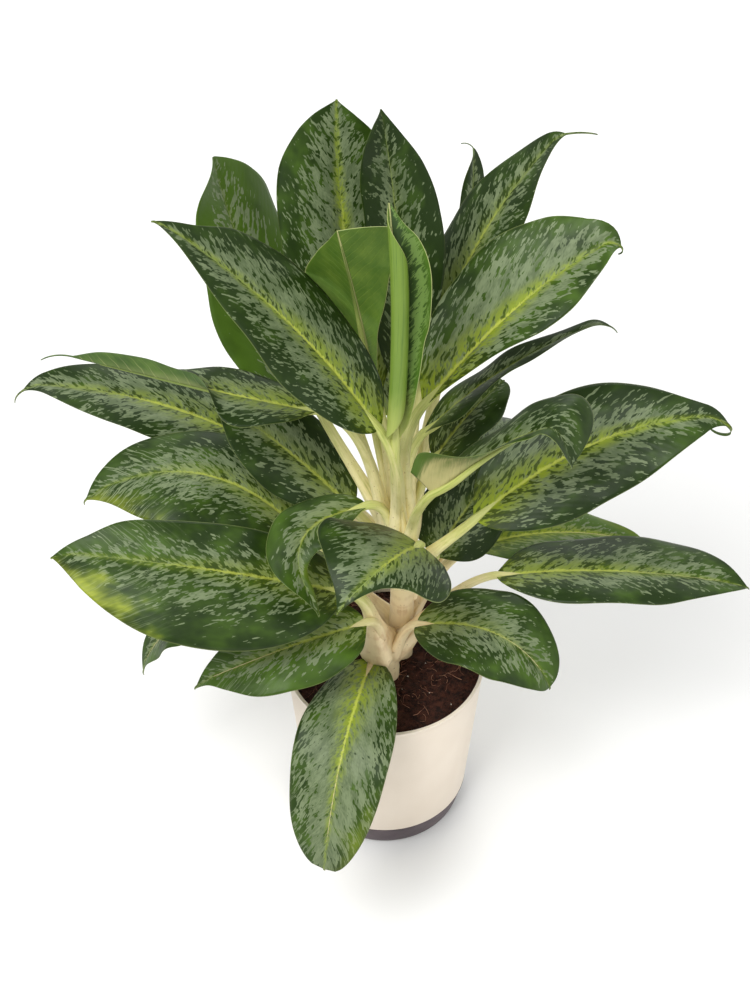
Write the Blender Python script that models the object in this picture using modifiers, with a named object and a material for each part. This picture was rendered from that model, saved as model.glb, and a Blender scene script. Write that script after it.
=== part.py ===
"""A chinese evergreen in its pot: two shoots with pale leaf stalks and patterned blades.

Metres, +Z up. The origin is the middle of the pot's underside, and the side seen from the front faces -Y.
"""

import bpy
import bmesh
from math import cos, pi, radians, sin
from mathutils import Vector

# The pot and what fills it.
POT_TOP_RADIUS = 0.0775
POT_HEIGHT = 0.158
POT_WALL = 0.0022
FOOT_RADIUS = 0.0608
FOOT_TOP_RADIUS = 0.0668
FOOT_HEIGHT = 0.022
FOOT_FLOOR = 0.003
FOOT_ROUNDING = 0.0035
FOOT_UNDERCUT = 0.0012
LIP_HEIGHT = 0.003
LIP_REACH = 0.0006
SOIL_TOP = 0.1535
SOIL_CROWN = 0.003
# The crown's rings: each is a radius and its share of the crown's height.
SOIL_RINGS = [(0, 1), (0.040, 0.8), (0.066, 0.2)]
ROUND_STEPS = 40
SEAT_GAP = 0.0003

# The two canes: each is a list of (x, y, z, radius) from its foot in the soil to its crown.
UPPER_CANE = [(0.012, 0.008, 0.1100, 0.0100), (0.012, 0.008, 0.1700, 0.0100),
              (0.013, 0.005, 0.2300, 0.0095), (0.012, 0.002, 0.2950, 0.0085)]
LOWER_CANE = [(0.001, -0.015, 0.1100, 0.0105), (0.001, -0.015, 0.1620, 0.0105),
              (0.001, -0.015, 0.1900, 0.0095)]
CANE_SIDES = 2
HOLE_CLEARANCE = 0.0007
HOLE_SIDES = 24

# Leaf stalks: a stalk leaves its cane at a height, and ends just short of its blade.
STALK_RADIUS = 0.0054
STALK_NARROWING = 0.62
STALK_INSET = 0.0045
STALK_STEPS = 7
STALK_SIDES = 1
# How strongly a stalk leans out and climbs as it leaves, and how straight it arrives at its blade.
LEAVE_OUT = 0.6
LEAVE_UP = 0.7
ARRIVE = 0.9

# Blades: a grid this fine, given a thickness.
BLADE_THICKNESS = 0.0009
BLADE_STEPS = 14
BLADE_COLUMNS = 4
ROLLED_COLUMNS = 10
BASE_HALF_WIDTH = 0.0016
TIP_HALF_WIDTH = 0.0005
# The outline's powers: its bulge beside the stalk, how quickly it rounds there, and its slope to the tip.
BASE_BULGE = 2.2
BASE_ROUNDING = 0.6
TIP_SLOPE = 2.1
# The margin's wave: how many rises it has along the blade, and where the right margin's wave starts.
WAVES = 2.2
RIGHT_WAVE_START = 2.1
SLOPE_STEPS = 8


def leaf(name, cane, height, base, middle, tip, width, roll=0, fold=16, curl=-34, left=None, right=None,
         lift=(1, 0, 0.4, 0.8), left_edge=None, right_edge=None, peak=0.42, blunt=1.0, hook=0.006,
         hook_from=0.9, wave=0.002, stalk=STALK_RADIUS):
    """One leaf. Its midrib passes through base, middle and tip, and the last part hooks down.

    roll turns the blade about its midrib. fold is the angle at which each half rises from the midrib,
    and curl is how far that angle changes on the way to the margin. left and right give another
    (fold, curl) to one half, as seen from the stalk. lift raises one half further, 1 for the left and -1
    for the right, by an angle that comes in between two places. peak is where the blade is widest.
    left_edge and right_edge give a half its own outline, as (hundredths of the length, width in mm).
    """
    return {
        "name": name, "cane": cane, "height": height,
        "base": Vector(base), "middle": Vector(middle), "tip": Vector(tip),
        "width": width, "roll": roll, "left": left or (fold, curl), "right": right or (fold, curl),
        "lift": lift, "left_edge": left_edge, "right_edge": right_edge,
        "peak": peak, "blunt": blunt, "hook": hook, "hook_from": hook_from, "wave": wave, "stalk": stalk,
    }


LEAVES = [
    leaf("top_middle", UPPER_CANE, 0.283, (-0.010, 0.050, 0.372), (-0.029, 0.095, 0.494),
         (-0.034, 0.120, 0.592), 0.082, hook=0,
         left_edge=((0, 2), (15, 28), (35, 42), (56, 46), (75, 43), (88, 29), (95, 16), (100, 1)),
         right_edge=((0, 2), (15, 24), (35, 36), (56, 39), (75, 36), (88, 25), (95, 13), (100, 1))),
    leaf("top_folded", UPPER_CANE, 0.287, (0.012, 0.050, 0.386), (0.008, 0.076, 0.508),
         (-0.004, 0.090, 0.604), 0.070, left=(2, -10), right=(34, -24), hook=0,
         left_edge=((0, 2), (15, 16), (40, 25), (60, 25), (80, 26), (91, 23), (97, 14), (100, 1)),
         right_edge=((0, 2), (15, 18), (40, 31), (60, 31), (75, 23), (88, 11), (95, 5), (100, 1))),
    leaf("top_left", UPPER_CANE, 0.275, (-0.054, 0.055, 0.383), (-0.097, 0.095, 0.471),
         (-0.119, 0.110, 0.552), 0.084, hook=0,
         left_edge=((0, 8), (9, 38), (22, 45), (36, 46), (52, 42), (75, 36), (90, 30), (96, 20), (100, 5)),
         right_edge=((0, 2), (12, 24), (30, 38), (50, 43), (72, 46), (85, 32), (94, 16), (100, 3))),
    leaf("upper_left", UPPER_CANE, 0.282, (-0.005, -0.022, 0.421), (-0.067, -0.006, 0.505),
         (-0.147, -0.007, 0.588), 0.082, roll=-14, peak=0.45, hook=0.003,
         right_edge=((0, 2), (10, 22), (25, 36), (40, 41), (50, 44), (62, 46), (75, 34), (88, 13), (100, 1))),
    leaf("young_open", UPPER_CANE, 0.290, (-0.006, 0.040, 0.397), (-0.020, 0.030, 0.487),
         (-0.032, 0.006, 0.568), 0.074, roll=2, left=(22, -10), right=(10, -34), hook=0, wave=0.001,
         left_edge=((0, 2), (30, 10), (60, 23), (85, 35), (96, 37), (100, 36)),
         right_edge=((0, 2), (25, 12), (48, 27), (63, 35), (80, 21), (90, 10), (100, 1))),
    leaf("young_rolled", UPPER_CANE, 0.292, (0.006, -0.024, 0.413), (0.006, -0.016, 0.513),
         (0.001, -0.006, 0.598), 0.062, left=(10, 330), right=(5, 100), hook=0, wave=0,
         right_edge=((0, 2), (10, 11), (30, 18), (44, 22), (52, 28), (62, 31), (72, 29), (84, 18), (90, 9),
                     (100, 1))),
    leaf("top_right", UPPER_CANE, 0.281, (0.032, 0.075, 0.415), (0.072, 0.110, 0.496),
         (0.124, 0.125, 0.568), 0.062, roll=5),
    leaf("top_right_narrow", UPPER_CANE, 0.268, (0.048, 0.115, 0.396), (0.061, 0.145, 0.467),
         (0.062, 0.158, 0.534), 0.028, roll=45),
    leaf("upper_right", UPPER_CANE, 0.284, (0.026, -0.004, 0.428), (0.090, 0.014, 0.503),
         (0.154, 0.024, 0.552), 0.094, roll=25, fold=26, hook=0.010,
         left_edge=((0, 2), (10, 22), (28, 41), (50, 47), (75, 38), (88, 23), (95, 11), (100, 1)),
         right_edge=((0, 2), (12, 8), (28, 17), (50, 31), (65, 31), (78, 26), (90, 17), (100, 1))),
    leaf("right_on_edge", UPPER_CANE, 0.276, (0.027, 0.024, 0.376), (0.085, 0.037, 0.427),
         (0.156, 0.042, 0.467), 0.056, roll=-15, hook=0.008,
         left_edge=((0, 2), (20, 18), (45, 17), (70, 12), (90, 7), (100, 1)),
         right_edge=((0, 2), (20, 22), (45, 17), (70, 11), (90, 6), (100, 1))),
    leaf("right_short", UPPER_CANE, 0.266, (0.035, 0.034, 0.341), (0.061, 0.050, 0.372),
         (0.086, 0.070, 0.385), 0.052, roll=-5, blunt=0.5, hook=0),
    leaf("right_curled", UPPER_CANE, 0.272, (0.032, -0.035, 0.372), (0.085, -0.055, 0.443),
         (0.122, -0.075, 0.471), 0.076, roll=2, left=(18, -34), right=(20, -24),
         lift=(-1, 90, 0.45, 0.05), hook=0.034, hook_from=0.74,
         left_edge=((0, 2), (15, 16), (40, 26), (70, 34), (86, 38), (94, 30), (100, 1)),
         right_edge=((0, 22), (9, 29), (20, 22), (36, 13), (60, 10), (82, 13), (94, 8), (100, 1))),
    leaf("right_large", UPPER_CANE, 0.250, (0.064, -0.015, 0.327), (0.152, 0.010, 0.381),
         (0.243, 0.015, 0.400), 0.090, roll=28, peak=0.38, hook=0.010,
         left_edge=((0, 2), (10, 26), (25, 42), (40, 45), (55, 41), (70, 29), (85, 14), (93, 7), (100, 1))),
    leaf("right_dark", UPPER_CANE, 0.222, (0.038, 0.020, 0.252), (0.061, 0.050, 0.272),
         (0.102, 0.085, 0.312), 0.068, roll=20),
    leaf("right_pale", UPPER_CANE, 0.192, (0.065, 0.040, 0.240), (0.137, 0.070, 0.228),
         (0.215, 0.090, 0.192), 0.060),
    leaf("right_low", LOWER_CANE, 0.176, (0.084, 0.008, 0.244), (0.177, 0.004, 0.253),
         (0.276, 0.008, 0.232), 0.070, blunt=0.8, hook=0.002, stalk=0.0050,
         left_edge=((0, 2), (10, 22), (30, 34), (50, 38), (70, 39), (82, 34), (92, 20), (100, 1))),
    leaf("front_right", LOWER_CANE, 0.178, (0.023, -0.020, 0.219), (0.081, -0.048, 0.241),
         (0.122, -0.070, 0.209), 0.076, roll=10, blunt=0.55, hook=0.004),
    leaf("front", LOWER_CANE, 0.170, (-0.010, -0.025, 0.184), (-0.032, -0.115, 0.185),
         (-0.046, -0.160, 0.106), 0.074, peak=0.5, blunt=0.42, hook=0.004),
    leaf("front_left", LOWER_CANE, 0.176, (-0.015, -0.034, 0.237), (-0.075, -0.058, 0.235),
         (-0.142, -0.066, 0.204), 0.066, roll=-20, hook=0.004,
         left_edge=((0, 2), (10, 22), (30, 33), (50, 34), (70, 29), (85, 15), (93, 6), (100, 1))),
    leaf("left_low", LOWER_CANE, 0.180, (-0.029, -0.030, 0.266), (-0.126, -0.046, 0.307),
         (-0.239, -0.040, 0.319), 0.092, roll=-30, stalk=0.0068,
         left_edge=((0, 2), (10, 30), (25, 50), (45, 59), (65, 55), (80, 41), (92, 21), (100, 1)),
         right_edge=((0, 2), (10, 22), (25, 32), (45, 34), (65, 32), (80, 27), (92, 11), (100, 1))),
    leaf("left_middle", UPPER_CANE, 0.238, (-0.062, 0.020, 0.277), (-0.138, 0.037, 0.323),
         (-0.223, 0.030, 0.306), 0.080, roll=-12, blunt=0.85, hook=0.003,
         left_edge=((0, 2), (10, 22), (30, 38), (50, 47), (65, 47), (80, 35), (92, 16), (100, 1))),
    leaf("left_inner", UPPER_CANE, 0.252, (-0.025, 0.025, 0.299), (-0.080, 0.050, 0.342),
         (-0.126, 0.060, 0.373), 0.068, roll=-25),
    leaf("left_far", UPPER_CANE, 0.257, (-0.103, 0.093, 0.306), (-0.185, 0.103, 0.338),
         (-0.274, 0.098, 0.358), 0.065, roll=-10, hook=0.008),
    leaf("left_long", UPPER_CANE, 0.274, (-0.049, 0.012, 0.408), (-0.128, 0.018, 0.424),
         (-0.218, 0.026, 0.445), 0.064, lift=(1, 100, 0.40, 0.62), hook=0,
         left_edge=((0, 2), (10, 18), (25, 28), (38, 29), (50, 13), (60, 8), (76, 13), (90, 9), (100, 1)),
         right_edge=((0, 2), (10, 16), (25, 23), (45, 22), (60, 14), (72, 5), (100, 1))),
    leaf("centre_curled", UPPER_CANE, 0.270, (0.024, -0.034, 0.320), (0.000, -0.088, 0.357),
         (-0.033, -0.120, 0.345), 0.100, roll=-22, left=(0, -30), right=(5, -32), hook=0.002,
         left_edge=((0, 24), (10, 38), (25, 44), (40, 37), (55, 23), (68, 11), (80, 6), (100, 1)),
         right_edge=((0, 14), (10, 34), (30, 51), (50, 57), (70, 48), (85, 26), (93, 10), (100, 1))),
    leaf("centre_left", UPPER_CANE, 0.262, (-0.014, -0.010, 0.336), (-0.060, -0.040, 0.331),
         (-0.048, -0.080, 0.303), 0.052,
         left_edge=((0, 2), (15, 18), (40, 25), (60, 14), (75, 6), (90, 4), (100, 1))),
    leaf("left_drooping", LOWER_CANE, 0.172, (-0.123, 0.030, 0.175), (-0.168, 0.035, 0.157),
         (-0.197, 0.030, 0.111), 0.050),
    leaf("back_left", UPPER_CANE, 0.262, (-0.028, 0.065, 0.372), (-0.055, 0.130, 0.410),
         (-0.075, 0.200, 0.385), 0.075),
    leaf("back_right", UPPER_CANE, 0.258, (0.004, 0.075, 0.345), (0.012, 0.132, 0.362),
         (0.022, 0.195, 0.338), 0.070),
    leaf("back_left_low", UPPER_CANE, 0.186, (-0.025, 0.030, 0.215), (-0.080, 0.070, 0.235),
         (-0.140, 0.110, 0.200), 0.070),
    leaf("back_right_low", UPPER_CANE, 0.200, (0.060, 0.066, 0.246), (0.090, 0.120, 0.276),
         (0.114, 0.168, 0.252), 0.070),
]


def clear_scene():
    for obj in list(bpy.data.objects):
        bpy.data.objects.remove(obj, do_unlink=True)


def new_collection(name):
    collection = bpy.data.collections.new(name)
    bpy.context.scene.collection.children.link(collection)
    return collection


def material(name, colour, roughness):
    made = bpy.data.materials.new(name)
    made.use_nodes = True
    shader = made.node_tree.nodes["Principled BSDF"]
    shader.inputs["Base Color"].default_value = (*colour, 1)
    shader.inputs["Roughness"].default_value = roughness
    shader.inputs["Metallic"].default_value = 0
    return made


def mesh_object(name, mesh, collection, look):
    obj = bpy.data.objects.new(name, mesh)
    collection.objects.link(obj)
    mesh.materials.append(look)
    return obj


def turned(name, profile, collection, look):
    """A solid of revolution about Z: the profile's points are (radius, height), down its outer side."""
    mesh = bpy.data.meshes.new(name)
    shape = bmesh.new()
    points = [shape.verts.new((radius, 0, height)) for radius, height in profile]
    for first, second in zip(points, points[1:]):
        shape.edges.new((first, second))
    shape.to_mesh(mesh)
    shape.free()
    obj = mesh_object(name, mesh, collection, look)
    screw = obj.modifiers.new("turn", "SCREW")
    screw.steps = ROUND_STEPS
    screw.render_steps = ROUND_STEPS
    screw.use_merge_vertices = True
    screw.merge_threshold = 0.00001
    return obj


def pot_radius(height):
    """The outside of the pot's cream wall, which widens evenly from its foot to its rim."""
    share = (height - FOOT_HEIGHT) / (POT_HEIGHT - FOOT_HEIGHT)
    return FOOT_TOP_RADIUS + share * (POT_TOP_RADIUS - FOOT_TOP_RADIUS)


def make_pot(collection):
    """The cream wall: open at both ends, with a thin turned-out lip."""
    bottom = FOOT_HEIGHT + SEAT_GAP
    lip = POT_HEIGHT - LIP_HEIGHT
    profile = [
        (pot_radius(POT_HEIGHT) - POT_WALL, POT_HEIGHT),
        (pot_radius(POT_HEIGHT) + LIP_REACH, POT_HEIGHT),
        (pot_radius(lip) + LIP_REACH, lip),
        (pot_radius(lip), lip),
        (pot_radius(bottom), bottom),
        (pot_radius(bottom) - POT_WALL, bottom),
        (pot_radius(POT_HEIGHT) - POT_WALL, POT_HEIGHT),
    ]
    turned("pot_wall", profile, collection, material("pot_cream", (0.72, 0.62, 0.50), 0.45))


def make_pot_foot(collection):
    """The dark foot: a shallow tray that closes the pot below and carries the wall on its rim."""
    profile = [
        (0, FOOT_FLOOR),
        (FOOT_RADIUS - POT_WALL, FOOT_FLOOR),
        (FOOT_TOP_RADIUS - POT_WALL, FOOT_HEIGHT),
        (FOOT_TOP_RADIUS, FOOT_HEIGHT),
        (FOOT_RADIUS + FOOT_UNDERCUT, FOOT_ROUNDING),
        (FOOT_RADIUS - FOOT_UNDERCUT, 0),
        (0, 0),
    ]
    turned("pot_foot", profile, collection, material("pot_dark", (0.09, 0.07, 0.08), 0.55))


def make_soil(collection, cutters):
    """Soil that fills the pot, slightly crowned, with a plain hole for each cane."""
    inside = POT_WALL + SEAT_GAP
    profile = [(radius, SOIL_TOP + share * SOIL_CROWN) for radius, share in SOIL_RINGS]
    profile += [
        (pot_radius(SOIL_TOP) - inside, SOIL_TOP),
        (pot_radius(FOOT_HEIGHT) - inside, FOOT_HEIGHT),
        (FOOT_RADIUS - inside - SEAT_GAP, FOOT_FLOOR + SEAT_GAP),
        (0, FOOT_FLOOR + SEAT_GAP),
    ]
    soil = turned("soil", profile, collection, material("peat", (0.045, 0.022, 0.014), 0.95))
    for cane in (UPPER_CANE, LOWER_CANE):
        x, y, z, radius = cane[0]
        wide = radius + HOLE_CLEARANCE
        floor = z - SEAT_GAP
        depth = POT_HEIGHT - floor
        mesh = bpy.data.meshes.new("hole")
        shape = bmesh.new()
        bmesh.ops.create_cone(shape, cap_ends=True, segments=HOLE_SIDES, radius1=wide, radius2=wide,
                              depth=depth)
        shape.to_mesh(mesh)
        shape.free()
        hole = bpy.data.objects.new("hole", mesh)
        hole.location = (x, y, floor + depth / 2)
        hide_helper(hole, cutters)
        cut = soil.modifiers.new("hole", "BOOLEAN")
        cut.operation = "DIFFERENCE"
        cut.object = hole


def hide_helper(obj, collection):
    collection.objects.link(obj)
    obj.hide_render = True
    obj.display_type = "WIRE"


def midrib(blade, along):
    """A point on the midrib, 0 at the stalk and 1 at the tip."""
    start = blade["base"] * (1 - along) * (1 - 2 * along)
    bend = blade["middle"] * 4 * along * (1 - along)
    end = blade["tip"] * along * (2 * along - 1)
    hooked = max(0.0, (along - blade["hook_from"]) / (1 - blade["hook_from"]))
    return start + bend + end - Vector((0, 0, blade["hook"] * hooked ** 2))


def blade_frame(blade, along):
    """The blade's directions at one place: along the midrib, to its left, and out of its upper face."""
    step = 0.001
    ahead = midrib(blade, min(1, along + step))
    forward = (ahead - midrib(blade, max(0, along - step))).normalized()
    level = Vector((0, 0, 1)).cross(forward).normalized()
    up = forward.cross(level)
    turn = radians(blade["roll"])
    return forward, level * cos(turn) + up * sin(turn), up * cos(turn) - level * sin(turn)


def edge_slope(points, number):
    """The slope of an edge at one of its points, from its neighbours."""
    before = points[max(0, number - 1)]
    after = points[min(len(points) - 1, number + 1)]
    return (after[1] - before[1]) / (after[0] - before[0])


def edge_height(points, place):
    """A smooth curve through an edge's points."""
    number = 0
    while number < len(points) - 2 and place > points[number + 1][0]:
        number += 1
    (first, low), (last, high) = points[number], points[number + 1]
    span = last - first
    share = (place - first) / span
    square, cube = share ** 2, share ** 3
    rise = edge_slope(points, number) * (cube - 2 * square + share)
    rise += edge_slope(points, number + 1) * (cube - square)
    return low * (2 * cube - 3 * square + 1) + high * (3 * square - 2 * cube) + rise * span


def half_width(blade, along, across):
    """The half's own edge, or a rounded base, the widest place at peak, and a pointed or blunt tip."""
    least = BASE_HALF_WIDTH * (1 - along) + TIP_HALF_WIDTH
    edge = blade["left_edge"] if across > 0 else blade["right_edge"]
    if edge:
        return max(edge_height(edge, along * 100) / 1000, least)
    peak = blade["peak"]
    if along < peak:
        share = (1 - (1 - along / peak) ** BASE_BULGE) ** BASE_ROUNDING
    else:
        share = (1 - ((along - peak) / (1 - peak)) ** TIP_SLOPE) ** blade["blunt"]
    return max(blade["width"] / 2 * share, least)


def lifted(blade, along, across):
    """The extra angle of the half that the blade's lift names."""
    half, angle, start, end = blade["lift"]
    if (across > 0) != (half > 0):
        return 0
    share = min(1.0, max(0.0, (along - start) / (end - start)))
    return angle * share ** 2 * (3 - 2 * share)


def blade_point(blade, along, across):
    """A point of the blade's middle surface: across runs from -1 at the right margin to 1 at the left."""
    forward, side, up = blade_frame(blade, along)
    half = half_width(blade, along, across)
    fold, curl = blade["left"] if across > 0 else blade["right"]
    fold += lifted(blade, along, across)
    curl = curl * half / (blade["width"] / 2)
    reach = abs(across) / SLOPE_STEPS
    out = 0
    rise = 0
    for step in range(SLOPE_STEPS):
        slope = radians(fold + curl * (step + 0.5) * reach)
        out += cos(slope) * reach
        rise += sin(slope) * reach
    start = 0 if across > 0 else RIGHT_WAVE_START
    wave = sin(2 * pi * WAVES * along + start) * 4 * along * (1 - along)
    ripple = blade["wave"] * across ** 2 * wave
    direction = 1 if across > 0 else -1
    return midrib(blade, along) + side * (direction * out * half) + up * (rise * half + ripple)


def make_blade(blade, collection, look):
    name = "blade_" + blade["name"]
    rolled = max(abs(blade["left"][1]), abs(blade["right"][1])) > 90
    columns = ROLLED_COLUMNS if rolled else BLADE_COLUMNS
    mesh = bpy.data.meshes.new(name)
    shape = bmesh.new()
    bmesh.ops.create_grid(shape, x_segments=BLADE_STEPS, y_segments=columns, size=1)
    for vert in shape.verts:
        vert.co = blade_point(blade, (vert.co.x + 1) / 2, vert.co.y)
    bmesh.ops.triangulate(shape, faces=shape.faces)
    shape.to_mesh(mesh)
    shape.free()
    mesh.shade_smooth()
    obj = mesh_object(name, mesh, collection, look)
    thick = obj.modifiers.new("thickness", "SOLIDIFY")
    thick.thickness = BLADE_THICKNESS
    thick.offset = 0


def cane_axis(cane, height):
    """The middle of a cane at a height."""
    for low, high in zip(cane, cane[1:]):
        if height <= high[2]:
            break
    share = (height - low[2]) / (high[2] - low[2])
    return Vector(low[:3]).lerp(Vector(high[:3]), share)


def stalk_route(blade):
    """Points from inside the cane, up and out, ending in line with the blade's midrib."""
    axis = cane_axis(blade["cane"], blade["height"])
    forward = blade_frame(blade, 0)[0]
    end = blade["base"] - forward * (SEAT_GAP + BLADE_THICKNESS / 3)
    outward = Vector((end.x - axis.x, end.y - axis.y, 0)).normalized()
    start = axis + outward * STALK_INSET
    span = end - start
    length = span.length
    leave = Vector((LEAVE_OUT * span.x, LEAVE_OUT * span.y, LEAVE_UP * length)).normalized() * length
    arrive = forward * ARRIVE * length
    points = []
    for step in range(STALK_STEPS + 1):
        share = step / STALK_STEPS
        square, cube = share ** 2, share ** 3
        points.append(
            start * (2 * cube - 3 * square + 1) + leave * (cube - 2 * square + share)
            + end * (3 * square - 2 * cube) + arrive * (cube - square)
        )
    return points


def tube(name, points, radii, sides, collection):
    """A tapering closed tube along points, as a mesh."""
    curve = bpy.data.curves.new(name, "CURVE")
    curve.dimensions = "3D"
    curve.bevel_depth = 1
    curve.bevel_resolution = sides
    curve.use_fill_caps = True
    spline = curve.splines.new("POLY")
    spline.points.add(len(points) - 1)
    for spot, point, radius in zip(spline.points, points, radii):
        spot.co = (*point, 1)
        spot.radius = radius
    guide = bpy.data.objects.new(name, curve)
    collection.objects.link(guide)
    graph = bpy.context.evaluated_depsgraph_get()
    mesh = bpy.data.meshes.new_from_object(guide.evaluated_get(graph))
    shape = bmesh.new()
    shape.from_mesh(mesh)
    bmesh.ops.remove_doubles(shape, verts=shape.verts, dist=0.00001)
    bmesh.ops.recalc_face_normals(shape, faces=shape.faces)
    shape.to_mesh(mesh)
    shape.free()
    bpy.data.objects.remove(guide, do_unlink=True)
    return mesh


def make_shoot(name, cane, collection, look):
    """A cane with its leaf stalks, fused into one solid."""
    points = [Vector(place[:3]) for place in cane]
    stem = mesh_object(name, tube(name, points, [place[3] for place in cane], CANE_SIDES, collection),
                       collection, look)
    stalks = new_collection(name + "_stalks")
    for blade in LEAVES:
        if blade["cane"] is not cane:
            continue
        route = stalk_route(blade)
        last = len(route) - 1
        radii = [blade["stalk"] * (1 - (1 - STALK_NARROWING) * step / last) for step in range(last + 1)]
        mesh = tube("stalk", route, radii, STALK_SIDES, stalks)
        stalks.objects.link(bpy.data.objects.new("stalk_" + blade["name"], mesh))
    join = stem.modifiers.new("join", "BOOLEAN")
    join.operation = "UNION"
    join.operand_type = "COLLECTION"
    join.collection = stalks
    graph = bpy.context.evaluated_depsgraph_get()
    fused = bpy.data.meshes.new_from_object(stem.evaluated_get(graph))
    stem.modifiers.clear()
    stem.data = fused
    for stalk in list(stalks.objects):
        bpy.data.objects.remove(stalk, do_unlink=True)
    bpy.data.collections.remove(stalks)


def main():
    clear_scene()
    plant = new_collection("chinese_evergreen")
    cutters = new_collection("cutters")
    make_pot(plant)
    make_pot_foot(plant)
    make_soil(plant, cutters)
    pale = material("stalk_cream", (0.62, 0.58, 0.36), 0.5)
    make_shoot("shoot_upper", UPPER_CANE, plant, pale)
    make_shoot("shoot_lower", LOWER_CANE, plant, pale)
    green = material("blade_green", (0.06, 0.13, 0.035), 0.4)
    young = material("blade_young", (0.16, 0.32, 0.05), 0.45)
    for blade in LEAVES:
        make_blade(blade, plant, young if blade["name"].startswith("young") else green)


main()
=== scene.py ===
"""The looks of a potted chinese evergreen: patterned blades, fleshy stalks, peat and a two-colour pot.

Every piece takes the place that the frame gives it. Metres, +Z up, and the front faces -Y.
"""

from math import cos, exp, pi, radians, sin, tau
from random import Random
from types import SimpleNamespace

import bmesh
import bpy
from mathutils import Matrix, Vector, noise

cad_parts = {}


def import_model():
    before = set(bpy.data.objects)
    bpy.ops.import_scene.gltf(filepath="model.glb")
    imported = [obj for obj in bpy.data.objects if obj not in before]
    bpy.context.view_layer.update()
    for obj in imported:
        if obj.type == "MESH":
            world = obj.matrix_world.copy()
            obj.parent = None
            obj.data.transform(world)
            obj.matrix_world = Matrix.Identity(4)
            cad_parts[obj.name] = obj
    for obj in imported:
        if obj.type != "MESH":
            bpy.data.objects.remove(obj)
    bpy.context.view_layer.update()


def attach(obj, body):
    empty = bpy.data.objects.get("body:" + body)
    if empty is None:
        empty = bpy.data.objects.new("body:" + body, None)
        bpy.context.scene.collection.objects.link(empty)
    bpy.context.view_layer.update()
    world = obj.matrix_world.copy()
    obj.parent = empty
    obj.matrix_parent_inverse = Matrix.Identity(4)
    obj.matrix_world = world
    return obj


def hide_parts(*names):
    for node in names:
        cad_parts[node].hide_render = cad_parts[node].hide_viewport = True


# The camera, fitted to the pot's rim and foot.
LENS = 71.9
CAMERA_TILT = 44.5
CAMERA_AWAY = 1.449
CAMERA_AIM = (-0.008, 0, 0.331)

# The canes: each is a list of (x, y, z, radius) from its foot in the soil to its crown.
UPPER_CANE = [(0.012, 0.008, 0.1100, 0.0100), (0.012, 0.008, 0.1700, 0.0100),
              (0.013, 0.005, 0.2300, 0.0095), (0.012, 0.002, 0.2950, 0.0085)]
LOWER_CANE = [(0.001, -0.015, 0.1100, 0.0105), (0.001, -0.015, 0.1620, 0.0105),
              (0.001, -0.015, 0.1900, 0.0095)]

# Stalks, and the ribs that they run on as, under the blades.
STALK_RADIUS = 0.0054
STALK_NARROWING = 0.62
STALK_INSET = 0.0045
LEAVE_OUT = 0.6
LEAVE_UP = 0.7
ARRIVE = 0.9
STALK_RINGS = 30
RIB_RINGS = 22
RIB_END = 0.9
RIB_TIP_RADIUS = 0.0004
RIB_SINK = 1.02
RIB_SINK_RUN = 0.1
STALK_PART = 0.8
STALK_SIDES = 18
SHEATH_REACH = 0.7
SHEATH_FOOT = 0.3
SHEATH_RISE = 5
WING_SIZE = 0.55
WING_TURN = 0.95
WING_WIDTH = 0.3
CHANNEL_DEPTH = 0.34
CHANNEL_WIDTH = 0.55
CANE_STEPS = 40
RIDGE_HEIGHT = 0.0006
RIDGE_PITCH = 0.011

# Blades.
BLADE_STEPS = 84
BLADE_COLUMNS = 28
ROLLED_COLUMNS = 56
ROLLED_CURL = 90
SLAB = 0.1
END_CROWDING = 0.09
TAIL = 0.12
NO_TAIL = (0.001, 10)
LAMINA = 0.0006
MARGIN = 0.0003
GROOVE_DEPTH = 0.0011
GROOVE_WIDTH = 0.0022
VEIN_PITCH = 0.0082
BASE_HALF_WIDTH = 0.0016
TIP_HALF_WIDTH = 0.0009
TAIL_HALF_WIDTH = 0.0003
BASE_BULGE = 2.2
BASE_ROUNDING = 0.6
TIP_SLOPE = 2.1
WAVES = 2.2
RIGHT_WAVE_START = 2.1
UNEVEN = 0.035
RIPPLE = 0.0016
SLOPE_STEPS = 12
SEED_STEP = 3.7

# The pattern of a blade: how its veins sweep forward, and how wide its rib and its glow are.
VEIN_SWEEP = 1.1
VEIN_BEND = 9
VEIN_WANDER = 0.008
HALVES_APART = 31
GLOW_WIDTH = 0.026
GLOW_TIP_WIDTH = 0.0018
RIB_WIDTH = 0.0014
RIB_TIP_WIDTH = 0.0004
RIB_RAGGEDNESS = 0.0048
RIB_LEAST_WIDTH = 0.0002

# Spots of a pattern in a metre, along the veins and away from the midrib.
STROKES = (235, 255)
PATCHES = (90, 110)
FLECKS = (640, 640)
LONG_STROKES = (520, 40)
FEATHERS = (380, 300)
UNDER_STROKES = (500, 120)
YOUNG_STROKES = (620, 200)

# The pot and the soil.
POT_TOP_RADIUS = 0.0775
POT_HEIGHT = 0.158
POT_WALL = 0.0022
FOOT_RADIUS = 0.0608
FOOT_TOP_RADIUS = 0.0668
FOOT_HEIGHT = 0.022
FOOT_FLOOR = 0.003
LIP_HEIGHT = 0.003
LIP_REACH = 0.0006
SEAM = 0.0003
WALL_ROUNDING = 0.0007
FOOT_TOP_ROUNDING = 0.0006
FOOT_ROUNDING = 0.0036
FOOT_INSET = 0.0022
AXIS_RADIUS = 0.0001
ROUND_STEPS = 128
UNDER_LIP_OUT = 0.00002
UNDER_LIP_DOWN = 0.0002
TRAY_EDGE_DROP = 0.0001
DUST_DEPTH = 0.012
SOIL_TOP = 0.1535
SOIL_CROWN = 0.003
SOIL_RINGS = 90
SOIL_SPOKES = 160
SOIL_DEPTH = 0.012
SOIL_CLEARANCE = 0.0002
TOP_SHARE = 0.9
SIDE_SHARE = 0.06
BROAD_SWELL = 0.0010
BROAD_OFTEN = 45
SMALL_SWELL = 0.0011
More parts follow.
